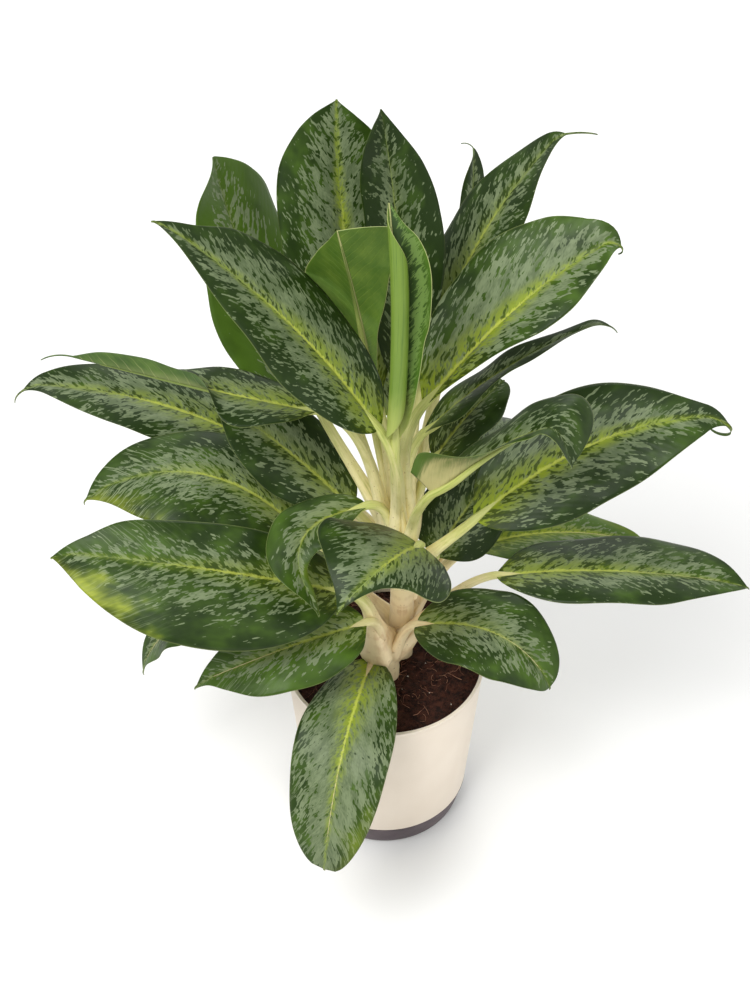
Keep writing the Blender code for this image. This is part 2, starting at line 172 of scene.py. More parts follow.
SMALL_OFTEN = 260
CANE_CLEARANCE = 0.012

# Loose bits on the soil. The first three are how many there are, with their least and greatest radius.
CRUMBS = (900, 0.0006, 0.0028)
PERLITE = (12, 0.0005, 0.0016)
ROOTLETS = (130, 0.00010, 0.00026)
CRUMB_SHARES = ((0.8, 1.5), (0.6, 1.2), (0.5, 0.9))
CRUMB_DENTS = (0.75, 1.2)
CRUMB_RISE = 0.25
ROOTLET_AREA = 0.064
ROOTLET_STEPS = 8
ROOTLET_STRIDE = 0.0016
ROOTLET_SIDES = 5
ROOTLET_TAPER = 12
ROOTLET_LIFT = 0.0004
ROOTLET_ARCH = 0.0012
ROOTLET_BEND = 0.5
ROOTLET_WANDER = 0.35

UP = Vector((0, 0, 1))

# Points that lie closer than this are one point.
TOUCHING = 0.000001

# The studio: each lamp is a name, a place, a size and its watts.
SURROUND_STRENGTH = 0.62
FLOOR_REACH = 6
FLOOR_PALE = (0.88, 0.88, 0.87, 1)
LAMP_AIM = (0, 0, 0.3)
LAMPS = [
    ("key", (-0.9, -1.0, 2.3), 1.3, 50),
    ("fill", (1.6, -1.0, 1.5), 1.8, 14),
    ("back", (0.3, 1.8, 1.8), 1.6, 18),
]


def outline(*points, base=2, tip=1):
    """A half's own edge, as (hundredths of the length, width in mm), with the widths at its ends."""
    return ((0, base), *points, (100, tip))


def leaf(name, height, base, middle, tip, width, cane=UPPER_CANE, roll=0, fold=16, curl=-34, left=None,
         right=None, lift=(1, 0, 0.4, 0.8), left_edge=None, right_edge=None, peak=0.42, blunt=1.0,
         hook=0.006, hook_from=0.9, wave=0.002, stalk=STALK_RADIUS, sheath=0.6, drip=(0.003, 40),
         drip_width=1.0, silver=0.5, yellow=0.6, bright=0.2, tip_light=0, rim=0.3, streaks=0, cream=0,
         young=False):
    """One leaf. Its midrib passes through base, middle and tip, and the last part hooks down.

    roll turns the blade about its midrib. fold is the angle at which each half rises from the midrib,
    and curl is how far that angle changes on the way to the margin. left and right give another
    (fold, curl) to one half, as seen from the stalk. lift raises one half further, 1 for the left and
    -1 for the right, by an angle that comes in between two places. peak is where the blade is widest.
    left_edge and right_edge give a half its own outline. sheath is how much wider the stalk is near
    the cane. drip is the length of the tip's tail, and how far it turns down. silver, yellow and bright
    are how much of each colour the blade has. The number after bright is how much painted light, a gold
    glow, lies on the margin near the tip of its left half. rim is how pale its edge is, streaks is how
    far its silver runs on in long strokes near the tip, and cream is how pale it is beneath.
    """
    return SimpleNamespace(
        name=name, cane=cane, height=height, base=Vector(base), middle=Vector(middle), tip=Vector(tip),
        width=width, roll=roll, left=left or (fold, curl), right=right or (fold, curl), lift=lift,
        left_edge=left_edge, right_edge=right_edge, peak=peak, blunt=blunt, hook=hook,
        hook_from=hook_from, wave=wave, stalk=stalk, sheath=sheath, drip=drip, drip_width=drip_width,
        colours=Vector((silver, yellow, bright)), touches=Vector((tip_light, rim, streaks)), cream=cream,
        young=young,
    )


LEAVES = [
    leaf("top_middle", 0.283, (-0.010, 0.050, 0.372), (-0.029, 0.095, 0.494),
         (-0.034, 0.120, 0.592), 0.082, hook=0,
         left_edge=outline((15, 28), (35, 42), (56, 46), (75, 43), (88, 29), (95, 16)),
         right_edge=outline((15, 24), (35, 36), (56, 39), (75, 36), (88, 25), (95, 13)),
         drip=NO_TAIL, silver=0.80, yellow=1.2, bright=0.25, rim=0.1),
    leaf("top_folded", 0.287, (0.012, 0.050, 0.386), (0.008, 0.076, 0.508),
         (-0.004, 0.090, 0.604), 0.070, left=(2, -10), right=(34, -24), hook=0,
         left_edge=outline((15, 16), (40, 25), (60, 25), (80, 26), (91, 23), (97, 14)),
         right_edge=outline((15, 18), (40, 31), (60, 31), (75, 23), (88, 11), (95, 5)),
         drip=NO_TAIL, silver=0.55, yellow=0.15, bright=0.0, rim=0.1),
    leaf("top_left", 0.275, (-0.054, 0.055, 0.383), (-0.097, 0.095, 0.471),
         (-0.119, 0.110, 0.552), 0.084, hook=0,
         left_edge=outline((9, 38), (22, 45), (36, 46), (52, 42), (75, 36), (90, 30), (96, 20),
                           base=8, tip=5),
         right_edge=outline((12, 24), (30, 38), (50, 43), (72, 46), (85, 32), (94, 16), tip=3),
         drip=NO_TAIL, silver=0.30, yellow=0.2, bright=0.95, rim=0.1),
    leaf("upper_left", 0.282, (-0.005, -0.022, 0.421), (-0.067, -0.006, 0.505),
         (-0.147, -0.007, 0.588), 0.082, roll=-14, peak=0.45, hook=0.003,
         right_edge=outline((10, 22), (25, 36), (40, 41), (50, 44), (62, 46), (75, 34), (88, 13)),
         silver=0.75, yellow=0.9, bright=0.05),
    leaf("young_open", 0.290, (-0.006, 0.040, 0.397), (-0.020, 0.030, 0.487),
         (-0.032, 0.006, 0.568), 0.074, roll=2, left=(22, -10), right=(10, -34), hook=0, wave=0.001,
         left_edge=outline((30, 10), (60, 23), (85, 35), (96, 37), tip=36),
         right_edge=outline((25, 12), (48, 27), (63, 35), (80, 21), (90, 10)),
         drip=NO_TAIL, silver=0, young=True),
    leaf("young_rolled", 0.292, (0.006, -0.024, 0.413), (0.006, -0.016, 0.513),
         (0.001, -0.006, 0.598), 0.062, left=(10, 330), right=(5, 100), hook=0, wave=0,
         right_edge=outline((10, 11), (30, 18), (44, 22), (52, 28), (62, 31), (72, 29), (84, 18),
                            (90, 9)),
         drip=NO_TAIL, silver=1, young=True),
    leaf("top_right", 0.281, (0.032, 0.075, 0.415), (0.072, 0.110, 0.496),
         (0.124, 0.125, 0.568), 0.062, roll=5, drip=(0.022, 25), silver=0.6, yellow=0.5, bright=0.1),
    leaf("top_right_narrow", 0.268, (0.048, 0.115, 0.396), (0.061, 0.145, 0.467),
         (0.062, 0.158, 0.534), 0.028, roll=45, drip=(0.010, 70), silver=0.45, yellow=0.2, bright=0.1),
    leaf("upper_right", 0.284, (0.026, -0.004, 0.428), (0.090, 0.014, 0.503),
         (0.154, 0.024, 0.552), 0.094, roll=25, fold=26, hook=0.010,
         left_edge=outline((10, 22), (28, 41), (50, 47), (75, 38), (88, 23), (95, 11)),
         right_edge=outline((12, 8), (28, 17), (50, 31), (65, 31), (78, 26), (90, 17)),
         drip=(0.010, 100), silver=0.85, yellow=1.2, bright=0.35),
    leaf("right_on_edge", 0.276, (0.027, 0.024, 0.376), (0.085, 0.037, 0.427),
         (0.156, 0.042, 0.467), 0.056, roll=-15, hook=0.008,
         left_edge=outline((20, 18), (45, 17), (70, 12), (90, 7)),
         right_edge=outline((20, 22), (45, 17), (70, 11), (90, 6)),
         drip=(0.007, 30), silver=0.3, yellow=0.2, bright=0.2),
    leaf("right_short", 0.266, (0.035, 0.034, 0.341), (0.061, 0.050, 0.372),
         (0.086, 0.070, 0.385), 0.052, roll=-5, blunt=0.5, hook=0,
         drip=NO_TAIL, silver=0.35, yellow=0.3, bright=0.15),
    leaf("right_curled", 0.272, (0.032, -0.035, 0.372), (0.085, -0.055, 0.443),
         (0.122, -0.075, 0.471), 0.076, roll=2, left=(18, -34), right=(20, -24),
         lift=(-1, 90, 0.45, 0.05), hook=0.034, hook_from=0.74,
         left_edge=outline((15, 16), (40, 26), (70, 34), (86, 38), (94, 30)),
         right_edge=outline((9, 29), (20, 22), (36, 13), (60, 10), (82, 13), (94, 8), base=22),
         silver=0.35, yellow=0.1, bright=0.1, rim=0.6, cream=1),
    leaf("right_large", 0.250, (0.064, -0.015, 0.327), (0.152, 0.010, 0.381),
         (0.243, 0.015, 0.400), 0.090, roll=28, peak=0.38, hook=0.010,
         left_edge=outline((10, 26), (25, 42), (40, 45), (55, 41), (70, 29), (85, 14), (93, 7)),
         drip=(0.030, 200), drip_width=1.8, silver=0.6, yellow=1.2, bright=0.15),
    leaf("right_dark", 0.222, (0.038, 0.020, 0.252), (0.061, 0.050, 0.272),
         (0.102, 0.085, 0.312), 0.068, roll=20, silver=0.4, yellow=0.3, bright=0.1),
    leaf("right_pale", 0.192, (0.065, 0.040, 0.240), (0.137, 0.070, 0.228),
         (0.215, 0.090, 0.192), 0.060, silver=0.35, yellow=1.3, bright=0.9, tip_light=0.4),
    leaf("right_low", 0.176, (0.084, 0.008, 0.244), (0.177, 0.004, 0.253),
         (0.276, 0.008, 0.232), 0.070, cane=LOWER_CANE, blunt=0.8, hook=0.002, stalk=0.0050, sheath=1.4,
         left_edge=outline((10, 22), (30, 34), (50, 38), (70, 39), (82, 34), (92, 20)),
         silver=0.55, yellow=0.7, bright=0.2),
    leaf("front_right", 0.178, (0.023, -0.020, 0.219), (0.081, -0.048, 0.241),
         (0.122, -0.070, 0.209), 0.076, cane=LOWER_CANE, roll=10, blunt=0.55, hook=0.004,
         silver=0.55, yellow=0.4, bright=0.3),
    leaf("front", 0.170, (-0.010, -0.025, 0.184), (-0.032, -0.115, 0.185),
         (-0.046, -0.160, 0.106), 0.074, cane=LOWER_CANE, peak=0.5, blunt=0.42, hook=0.004,
         silver=1.15, yellow=1.1, bright=0.35, tip_light=0.3, streaks=0.6),
    leaf("front_left", 0.176, (-0.015, -0.034, 0.237), (-0.075, -0.058, 0.235),
         (-0.142, -0.066, 0.204), 0.066, cane=LOWER_CANE, roll=-20, hook=0.004,
         left_edge=outline((10, 22), (30, 33), (50, 34), (70, 29), (85, 15), (93, 6)),
         silver=0.45, yellow=0.5, bright=0.55, streaks=0.5),
    leaf("left_low", 0.180, (-0.029, -0.030, 0.266), (-0.126, -0.046, 0.307),
         (-0.239, -0.040, 0.319), 0.092, cane=LOWER_CANE, roll=-30, stalk=0.0068, sheath=2.2,
         left_edge=outline((10, 30), (25, 50), (45, 59), (65, 55), (80, 41), (92, 21)),
         right_edge=outline((10, 22), (25, 32), (45, 34), (65, 32), (80, 27), (92, 11)),
         silver=0.35, yellow=0.6, bright=0.3, tip_light=1.0, streaks=0.6),
    leaf("left_middle", 0.238, (-0.062, 0.020, 0.277), (-0.138, 0.037, 0.323),
         (-0.223, 0.030, 0.306), 0.080, roll=-12, blunt=0.85, hook=0.003,
         left_edge=outline((10, 22), (30, 38), (50, 47), (65, 47), (80, 35), (92, 16)),
         drip=(0.007, 60), silver=0.55, yellow=0.6, bright=0.3, tip_light=0.7, streaks=1.0),
    leaf("left_inner", 0.252, (-0.025, 0.025, 0.299), (-0.080, 0.050, 0.342),
         (-0.126, 0.060, 0.373), 0.068, roll=-25, silver=0.6, yellow=0.5, bright=0.1),
    leaf("left_far", 0.257, (-0.103, 0.093, 0.306), (-0.185, 0.103, 0.338),
         (-0.274, 0.098, 0.358), 0.065, roll=-10, hook=0.008, drip=(0.014, 50),
         silver=0.75, yellow=0.8, bright=0.05),
    leaf("left_long", 0.274, (-0.049, 0.012, 0.408), (-0.128, 0.018, 0.424),
         (-0.218, 0.026, 0.445), 0.064, lift=(1, 100, 0.40, 0.62), hook=0,
         left_edge=outline((10, 18), (25, 28), (38, 29), (50, 13), (60, 8), (76, 13), (90, 9)),
         right_edge=outline((10, 16), (25, 23), (45, 22), (60, 14), (72, 5)),
         drip=(0.024, 50), silver=0.8, yellow=0.8, bright=0.1),
    leaf("centre_curled", 0.270, (0.024, -0.034, 0.320), (0.000, -0.088, 0.357),
         (-0.033, -0.120, 0.345), 0.100, roll=-22, left=(0, -30), right=(5, -32), hook=0.002,
         left_edge=outline((10, 38), (25, 44), (40, 37), (55, 23), (68, 11), (80, 6), base=24),
         right_edge=outline((10, 34), (30, 51), (50, 57), (70, 48), (85, 26), (93, 10), base=14),
         silver=0.7, yellow=0.8, bright=0.1, rim=0.6),
    leaf("centre_left", 0.262, (-0.014, -0.010, 0.336), (-0.060, -0.040, 0.331),
         (-0.048, -0.080, 0.303), 0.052,
         left_edge=outline((15, 18), (40, 25), (60, 14), (75, 6), (90, 4)),
         silver=0.5, yellow=0.2, bright=0.4, tip_light=0.3, rim=0.6),
    leaf("left_drooping", 0.172, (-0.123, 0.030, 0.175), (-0.168, 0.035, 0.157),
         (-0.197, 0.030, 0.111), 0.050, cane=LOWER_CANE, silver=0.5, bright=0.4),
    leaf("back_left", 0.262, (-0.028, 0.065, 0.372), (-0.055, 0.130, 0.410),
         (-0.075, 0.200, 0.385), 0.075, silver=0.7, yellow=0.7),
    leaf("back_right", 0.258, (0.004, 0.075, 0.345), (0.012, 0.132, 0.362),
         (0.022, 0.195, 0.338), 0.070, silver=0.55, yellow=0.6),
    leaf("back_left_low", 0.186, (-0.025, 0.030, 0.215), (-0.080, 0.070, 0.235),
         (-0.140, 0.110, 0.200), 0.070, silver=0.5, yellow=0.5, bright=0.3),
    leaf("back_right_low", 0.200, (0.060, 0.066, 0.246), (0.090, 0.120, 0.276),
         (0.114, 0.168, 0.252), 0.070, silver=0.65, yellow=0.6),
]


def tint(red, green, blue):
    """A colour for the shaders, from the 0 to 255 values of a screen."""
    def linear(value):
        share = value / 255
        return share / 12.92 if share <= 0.04045 else ((share + 0.055) / 1.055) ** 2.4
    return (linear(red), linear(green), linear(blue), 1)


DEEP_GREEN = tint(29, 47, 9)
LEAF_GREEN = tint(70, 98, 26)
SAGE = tint(86, 100, 68)
PALE_SAGE = tint(116, 129, 95)
SUNNY = tint(132, 148, 36)
# The gold of the painted light near some blade tips.
TIP_LIGHT_GOLD = tint(148, 158, 46)
RIB_YELLOW = tint(188, 196, 82)
EDGE_PALE = tint(150, 164, 98)
UNDER_GREEN = tint(50, 76, 24)
UNDER_PALE = tint(80, 106, 40)
RIB_CREAM = tint(190, 190, 128)
FLAP_CREAM = tint(188, 178, 122)
YOUNG_DEEP = tint(42, 66, 20)
YOUNG_GREEN = tint(68, 102, 26)
YOUNG_LIME = tint(132, 156, 60)
YOUNG_SILVER = tint(104, 132, 64)
STALK_CREAM = tint(236, 224, 168)
STALK_BUFF = tint(212, 200, 134)
STALK_LIME = tint(176, 184, 96)
STALK_ROSE = tint(234, 210, 172)
STALK_TAN = tint(208, 176, 134)
STALK_GREEN = tint(128, 150, 62)
SPECK_BROWN = tint(146, 114, 74)
PEAT_BLACK = tint(30, 16, 11)
PEAT_BROWN = tint(76, 42, 30)
PEAT_RED = tint(120, 70, 50)
FIBRE = tint(178, 128, 100)
PERLITE_WHITE = tint(226, 216, 202)
POT_CREAM = tint(232, 220, 204)
POT_SHADE = tint(218, 204, 186)
FOOT_GREY = tint(92, 80, 84)
FOOT_DARK = tint(66, 56, 60)


class Signal:
    """A number, a colour or a direction that runs between two shader nodes."""

    def __init__(self, finish, socket):
        self.finish = finish
        self.socket = socket

    def maths(self, operation, *values):
        return self.finish.node("ShaderNodeMath", {"operation": operation}, dict(enumerate(values)))

    def at_least(self, value):
        return self.maths("MAXIMUM", self, value)

    def smooth(self, low, high):
        """0 below low, 1 above high, and a soft step between them."""
        sockets = {"Value": self, "From Min": low, "From Max": high}
        return self.finish.node("ShaderNodeMapRange", {"interpolation_type": "SMOOTHSTEP"}, sockets)

    def __add__(self, other):
        return self.maths("ADD", self, other)

    def __sub__(self, other):
        return self.maths("SUBTRACT", self, other)

    def __rsub__(self, other):
        return self.maths("SUBTRACT", other, self)

    def __mul__(self, other):
        return self.maths("MULTIPLY", self, other)

    def __truediv__(self, other):
        return self.maths("DIVIDE", self, other)

    def __pow__(self, other):
        return self.maths("POWER", self, other)

    def __gt__(self, other):
        return self.maths("GREATER_THAN", self, other)

    def __abs__(self):
        return self.maths("ABSOLUTE", self)

    def wave(self):
        return self.maths("SINE", self)

    def fraction(self):
        return self.maths("FRACT", self)


class Finish:
    """A material in the making: a Principled shader, the nodes that feed it, and its colour so far."""

    def __init__(self, name, ground, specular=0.5):
        self.material = bpy.data.materials.new(name)
        self.material.use_nodes = True
        self.tree = self.material.node_tree
        self.shader = self.tree.nodes["Principled BSDF"]
        self.shader.inputs["Specular IOR Level"].default_value = specular
        self.colour = ground

    def feed(self, node, sockets):
        """Links a node's sockets to the signals that drive them, or sets their values."""
        for socket, value in sockets.items():
            if isinstance(value, Signal):
                self.tree.links.new(value.socket, node.inputs[socket])
            else:
                node.inputs[socket].default_value = value

    def node(self, kind, settings, sockets, output=0):
        made = self.tree.nodes.new(kind)
        for setting, value in settings.items():
            setattr(made, setting, value)
        self.feed(made, sockets)
        return Signal(self, made.outputs[output])

    def attribute(self, name):
        """The three numbers that a piece's points hold under a name."""
        vector = self.node("ShaderNodeAttribute", {"attribute_name": name}, {}, "Vector")
        return self.parts(vector)

    def place(self):
        return self.parts(self.node("ShaderNodeTexCoord", {}, {}, "Object"))

    def parts(self, vector):
        split = self.node("ShaderNodeSeparateXYZ", {}, {0: vector})
        return [Signal(self, output) for output in split.socket.node.outputs]

    def noise(self, x, y, z, detail=2.0, roughness=0.6):
        """Cloudy noise about zero, at the scale of the numbers it is given."""
        vector = self.node("ShaderNodeCombineXYZ", {}, {0: x, 1: y, 2: z})
        sockets = {"Vector": vector, "Scale": 1.0, "Detail": detail, "Roughness": roughness}
        return self.node("ShaderNodeTexNoise", {}, sockets) - 0.5

    def grain(self, place, often, detail=2.0, roughness=0.6):
        """Noise with the same number of spots in a metre each way."""
        x, y, z = place
        return self.noise(x * often, y * often, z * often, detail, roughness)

    def mix(self, first, second, share):
        sockets = {"Factor": share, 6: first, 7: second}
        return self.node("ShaderNodeMix", {"data_type": "RGBA", "clamp_factor": True}, sockets, 2)

    def paint(self, colour, share):
        """Lays a colour over what is there, as far as the share says."""
        self.colour = self.mix(self.colour, colour, share)

    def finished(self, roughness, relief=None):
        """The material, once its shader is fed. relief is a height, and how far 1 of it stands proud."""
        sockets = {"Base Color": self.colour, "Roughness": roughness}
        if relief:
            height, depth = relief
            sockets["Normal"] = self.node("ShaderNodeBump", {}, {"Height": height, "Distance": depth})
        self.feed(self.shader, sockets)
        return self.material


def vein_flow(finish):
    """What a blade's pattern is drawn on: places along its midrib, away from it and along its veins."""
    reach, off, seed = finish.attribute("reach")
    along, across, cream = finish.attribute("share")
    away = abs(off)
    left = off > 0
    seed = seed + left * HALVES_APART
    wander = finish.noise(reach * 55, away * 55, seed)
    flow = reach - away * (away * VEIN_BEND + VEIN_SWEEP) + wander * VEIN_WANDER
    return SimpleNamespace(reach=reach, away=away, seed=seed, along=along, edge=abs(across), flow=flow,
                           right=1 - left, cream=cream)


def veined(finish, place, often, shift=0, detail=2.0, roughness=0.6):
    """Noise whose spots lie along a blade's veins."""
    along, away = often
    return finish.noise(place.flow * along, place.away * away, place.seed + shift, detail, roughness)


def vein_lines(place, width):
    """1 on each side vein and 0 between them."""
    phase = (place.flow / VEIN_PITCH).fraction()
    return 1 - abs(phase - 0.5).smooth(0, width)


def upper_face():
    """Deep green with silver flecks along the veins, and a yellow rib that glows near the stalk."""
    finish = Finish("blade_upper", DEEP_GREEN, specular=0.2)
    place = vein_flow(finish)
    silver, yellow, bright = finish.attribute("colours")
    tip_light, pale_rim, streaky = finish.attribute("touches")
    away, along, edge = place.away, place.along, place.edge
    strokes = veined(finish, place, STROKES, detail=1.7, roughness=0.5)
    patches = veined(finish, place, PATCHES, 7, detail=1.0)
    flecks = veined(finish, place, FLECKS, 13, detail=0.0)
    clouds = finish.noise(place.reach * 40, away * 60, place.seed + 21)

    sunny = (clouds * 1.4 + bright * 0.9 + along * 0.2 - edge * 0.1).smooth(0.02, 0.96)
    finish.paint(LEAF_GREEN, sunny)

    fading = edge.smooth(0.20, 1.0) * 0.74 + along.smooth(0.45, 1.0) * 0.22
    field = silver * 0.72 - 0.22 - fading + strokes * 3.0 + patches * 0.9 + flecks * 0.7
    silvered = field.smooth(-0.02, 0.03)
    paleness = (patches + bright * 0.3 + flecks * 0.5).smooth(-0.15, 0.4)
    finish.paint(finish.mix(SAGE, PALE_SAGE, paleness), silvered * 0.94)
    runs = veined(finish, place, LONG_STROKES, 40, detail=1.5)
    finish.paint(PALE_SAGE, runs.smooth(0.09, 0.12) * along.smooth(0.55, 0.85) * streaky)

    # Painted light: a gold glow on the margin near the tip of the left half.
    lit_tip = (along + edge * 0.30 + clouds * 0.8).smooth(0.88, 1.30) * tip_light * (1 - place.right)
    finish.paint(TIP_LIGHT_GOLD, lit_tip * (strokes + clouds * 0.9 + 0.6))
    rays = (strokes + flecks * 0.4 + clouds * 0.5).smooth(-0.14, 0.12)
    spread = (1 - along) ** 1.4 * GLOW_WIDTH + GLOW_TIP_WIDTH
    glow = (1 - (away / spread).smooth(0, 1)) * yellow * (rays * 0.80 + 0.16)
    finish.paint(SUNNY, glow * (1 - along * 0.4))

    feather = veined(finish, place, FEATHERS, 3)
    half_rib = (1 - along) * RIB_WIDTH + RIB_TIP_WIDTH + feather * RIB_RAGGEDNESS
    half_rib = half_rib.at_least(RIB_LEAST_WIDTH)
    ending = 1 - (along + feather * 0.6).smooth(0.45, 0.80)
    rib = (1 - (away / half_rib).smooth(0.3, 1.2)) * ending
    finish.paint(RIB_YELLOW, rib * (yellow * 0.45 + 0.25))
    finish.paint(EDGE_PALE, edge.smooth(0.982, 0.994) * pale_rim)

    quilt = (place.flow * (tau / VEIN_PITCH)).wave() * (1 - edge) * (clouds + 0.4) * 0.35
    relief = quilt + strokes * 0.15 + clouds * 1.2 - rib * 0.5
    return finish.finished(silvered * 0.05 + flecks * 0.10 + 0.42, (relief, 0.0005))


def lower_face():
    """The underside: paler and duller, with raised side veins, and cream near some stalks."""
    finish = Finish("blade_under", UNDER_GREEN, specular=0.4)
    place = vein_flow(finish)
    away, along, edge = place.away, place.along, place.edge
    clouds = finish.noise(place.reach * 60, away * 80, place.seed)
    strokes = veined(finish, place, UNDER_STROKES)
    finish.paint(UNDER_PALE, (clouds + strokes * 0.7).smooth(-0.3, 0.4))
    veins = vein_lines(place, 0.09) * (1 - edge)
    finish.paint(RIB_CREAM, veins * 0.3)
    near_rib = (1 - away.smooth(0.0005, 0.0060)) * (1 - along)
    finish.paint(RIB_CREAM, near_rib * 0.5)
    near_stalk = 1 - (along + clouds * 0.3 + strokes * 0.2).smooth(0.02, 0.34)
    inner = 1 - (edge + strokes * 0.3).smooth(0.55, 0.86)
    finish.paint(FLAP_CREAM, near_stalk * place.cream * inner * 0.85)
    finish.paint(UNDER_PALE, near_stalk * place.cream * (1 - inner) * 0.9)
    relief = veins * 0.6 + clouds + strokes * 0.2
    return finish.finished(strokes * 0.2 + 0.52, (relief, 0.0005))


def young_face():
    """A young blade: fresh green with a pale rib. Only the rolled one is marked, on its right half."""
    finish = Finish("blade_fresh", YOUNG_GREEN, specular=0.4)
    place = vein_flow(finish)
    away, along, edge = place.away, place.along, place.edge
    marked = finish.attribute("colours")[0]
    clouds = finish.noise(place.reach * 50, away * 90, place.seed)
    strokes = veined(finish, place, YOUNG_STROKES, detail=2.5)
    finish.paint(YOUNG_LIME, (clouds * 0.7 + strokes * 0.25 - marked * 0.1).smooth(-0.25, 0.7))

    flap = marked * place.right
    finish.paint(YOUNG_DEEP, flap * (1 - edge.smooth(0.55, 0.95)) * 0.9)
    marks = (strokes * 2.2 + clouds - abs(edge - 0.6) * 1.6).smooth(-0.30, -0.18)
    finish.paint(YOUNG_SILVER, marks * flap * 0.9)

    rolled = (1 - place.right) * marked
    lines = finish.noise(place.reach * 22, away * 1500, place.seed + 4, detail=1.0)
    finish.paint(YOUNG_LIME, rolled * 0.5)
    finish.paint(YOUNG_GREEN, rolled * (lines + clouds * 0.4).smooth(-0.05, 0.35) * 0.8)
    near_stalk = (1 - (along + clouds * 0.1).smooth(0.0, 0.26)) * marked
    finish.paint(STALK_LIME, near_stalk * 0.85)

    veins = vein_lines(place, 0.08) * (1 - edge) * (1 - marked)
    finish.paint(YOUNG_LIME, veins * 0.6)
    near_rib = 1 - (away / ((1 - along) * 0.0022 + 0.0006)).smooth(0.6, 1.1)
    finish.paint(RIB_CREAM, near_rib * 0.9)
    finish.paint(RIB_CREAM, edge.smooth(0.98, 0.992) * 0.6)
    relief = veins * 0.4 + near_rib + clouds
    return finish.finished(strokes * 0.15 + 0.48, (relief, 0.0006))


def stalk_skin():
    """Fleshy stalks: cream and buff at the crown, greener towards the blade, with streaks and specks."""
    finish = Finish("stalk_skin", STALK_CREAM, specular=0.45)
    along, around, seed = finish.attribute("share")
    run, _, _ = finish.attribute("reach")
    streaks = finish.noise(run * 45, around * 9, seed, detail=3.0)
    blotches = finish.noise(run * 110, around * 2.2, seed + 5, detail=2.0)
    finish.paint(STALK_BUFF, (blotches + streaks * 0.6).smooth(-0.10, 0.45))
    greening = (along + streaks * 0.5).smooth(0.18, 0.95)
    finish.paint(STALK_LIME, greening)
    finish.paint(UNDER_PALE, along.smooth(0.82, 0.92) * 0.75)
    finish.paint(STALK_GREEN, (streaks + along * 0.2).smooth(0.18, 0.42) * 0.55)
    height = finish.place()[2]
    low = 1 - (height + blotches * 0.03).smooth(0.215, 0.265)
    finish.paint(STALK_ROSE, low * 0.75)
    finish.paint(STALK_TAN, low * (blotches + streaks * 0.8).smooth(-0.05, 0.30) * 0.7)
    specks = finish.noise(run * 420, around * 6, seed + 9, detail=1.5)
    finish.paint(SPECK_BROWN, specks.smooth(0.17, 0.25) * (1 - greening) * 0.7)
    return finish.finished(streaks * 0.2 + 0.42, (streaks + blotches * 0.5, 0.0005))


def peat():
    """Damp peat: near black in the hollows, red-brown on the crumbs."""
    finish = Finish("peat_crust", PEAT_BLACK, specular=0.25)
    place = finish.place()
    grit = finish.grain(place, 900, detail=4.0, roughness=0.7)
    lumps = finish.grain(place, 160)
    finish.paint(PEAT_BROWN, (grit + lumps).smooth(-0.25, 0.3))
    finish.paint(PEAT_RED, (grit + lumps * 0.5).smooth(0.2, 0.42) * 0.7)
    return finish.finished(0.95, (grit + lumps, 0.0012))


def rootlet_skin():
    finish = Finish("rootlets", FIBRE)
    fade = finish.grain(finish.place(), 120)
    finish.paint(PEAT_RED, fade.smooth(-0.2, 0.25))
    return finish.finished(0.8)


def perlite_skin():
    finish = Finish("perlite", PERLITE_WHITE)
    pits = finish.grain(finish.place(), 1400, detail=3.0)
    finish.paint(PEAT_RED, pits.smooth(0.05, 0.4) * 0.7)
    return finish.finished(0.9, (pits, 0.0006))


def pot_plastic():
    """Satin cream plastic with broad patches of painted shade, and dust of peat under the lip."""
    finish = Finish("pot_plastic", POT_CREAM)
    place = finish.place()
    x, y, z = place
    # Painted shade: broad patches in a shaded copy of the pot's cream.
    cloud = finish.noise(x * 14, y * 14, z * 9, detail=3.0)
    finish.paint(POT_SHADE, cloud.smooth(-0.25, 0.45))
    dust = finish.noise(x * 700, y * 700, z * 420)
    near_lip = z.smooth(POT_HEIGHT - DUST_DEPTH, POT_HEIGHT)
    finish.paint(PEAT_RED, (dust + near_lip * 0.14).smooth(0.30, 0.36) * near_lip * 0.6)
    wear = finish.noise(x * 60, y * 60, z * 40) * 0.12 + 0.42
    return finish.finished(wear, (finish.grain(place, 900), 0.00008))


def foot_plastic():
    finish = Finish("foot_plastic", FOOT_GREY, specular=0.45)
    place = finish.place()
    cloud = finish.grain(place, 40, detail=3.0)
    finish.paint(FOOT_DARK, cloud.smooth(-0.2, 0.4))
    return finish.finished(cloud * 0.15 + 0.5, (finish.grain(place, 900), 0.0001))


def new_shape():
    """An empty bmesh whose points can hold what the finishes read."""
    shape = bmesh.new()
    for name in ("reach", "share", "colours", "touches"):
        shape.verts.layers.float_vector.new(name)
    return shape


def mark(shape, vert, reach, share, colours=(0, 0, 0), touches=(0, 0, 0)):
    layers = shape.verts.layers.float_vector
    vert[layers["reach"]] = reach
    vert[layers["share"]] = share
    vert[layers["colours"]] = colours
    vert[layers["touches"]] = touches


def placed(name, data):
    """A new object in the scene for a mesh, a lamp or the camera."""
    made = bpy.data.objects.new(name, data)
    bpy.context.scene.collection.objects.link(made)
    return made


def meshed(name, shape, *finishes):
    """A new object in the scene from a bmesh, which is used up."""
    mesh = bpy.data.meshes.new(name)
    shape.to_mesh(mesh)
    shape.free()
    for finish in finishes:
        mesh.materials.append(finish)
    return placed(name, mesh)


def finish_piece(name, shape, finishes, slot, *nodes):
    """A finished piece from its bmesh, on the plant's one body."""
    piece = meshed(name, shape, *finishes)
    piece.data.shade_smooth()
    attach(piece, "root")
    if nodes:
        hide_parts(*nodes)


def midrib(blade, along):
    """A point on the midrib, 0 at the stalk and 1 at the tip."""
    start = blade.base * (1 - along) * (1 - 2 * along)
    bend = blade.middle * 4 * along * (1 - along)
    end = blade.tip * along * (2 * along - 1)
    hooked = max(0.0, (along - blade.hook_from) / (1 - blade.hook_from))
    return start + bend + end - Vector((0, 0, blade.hook * hooked ** 2))


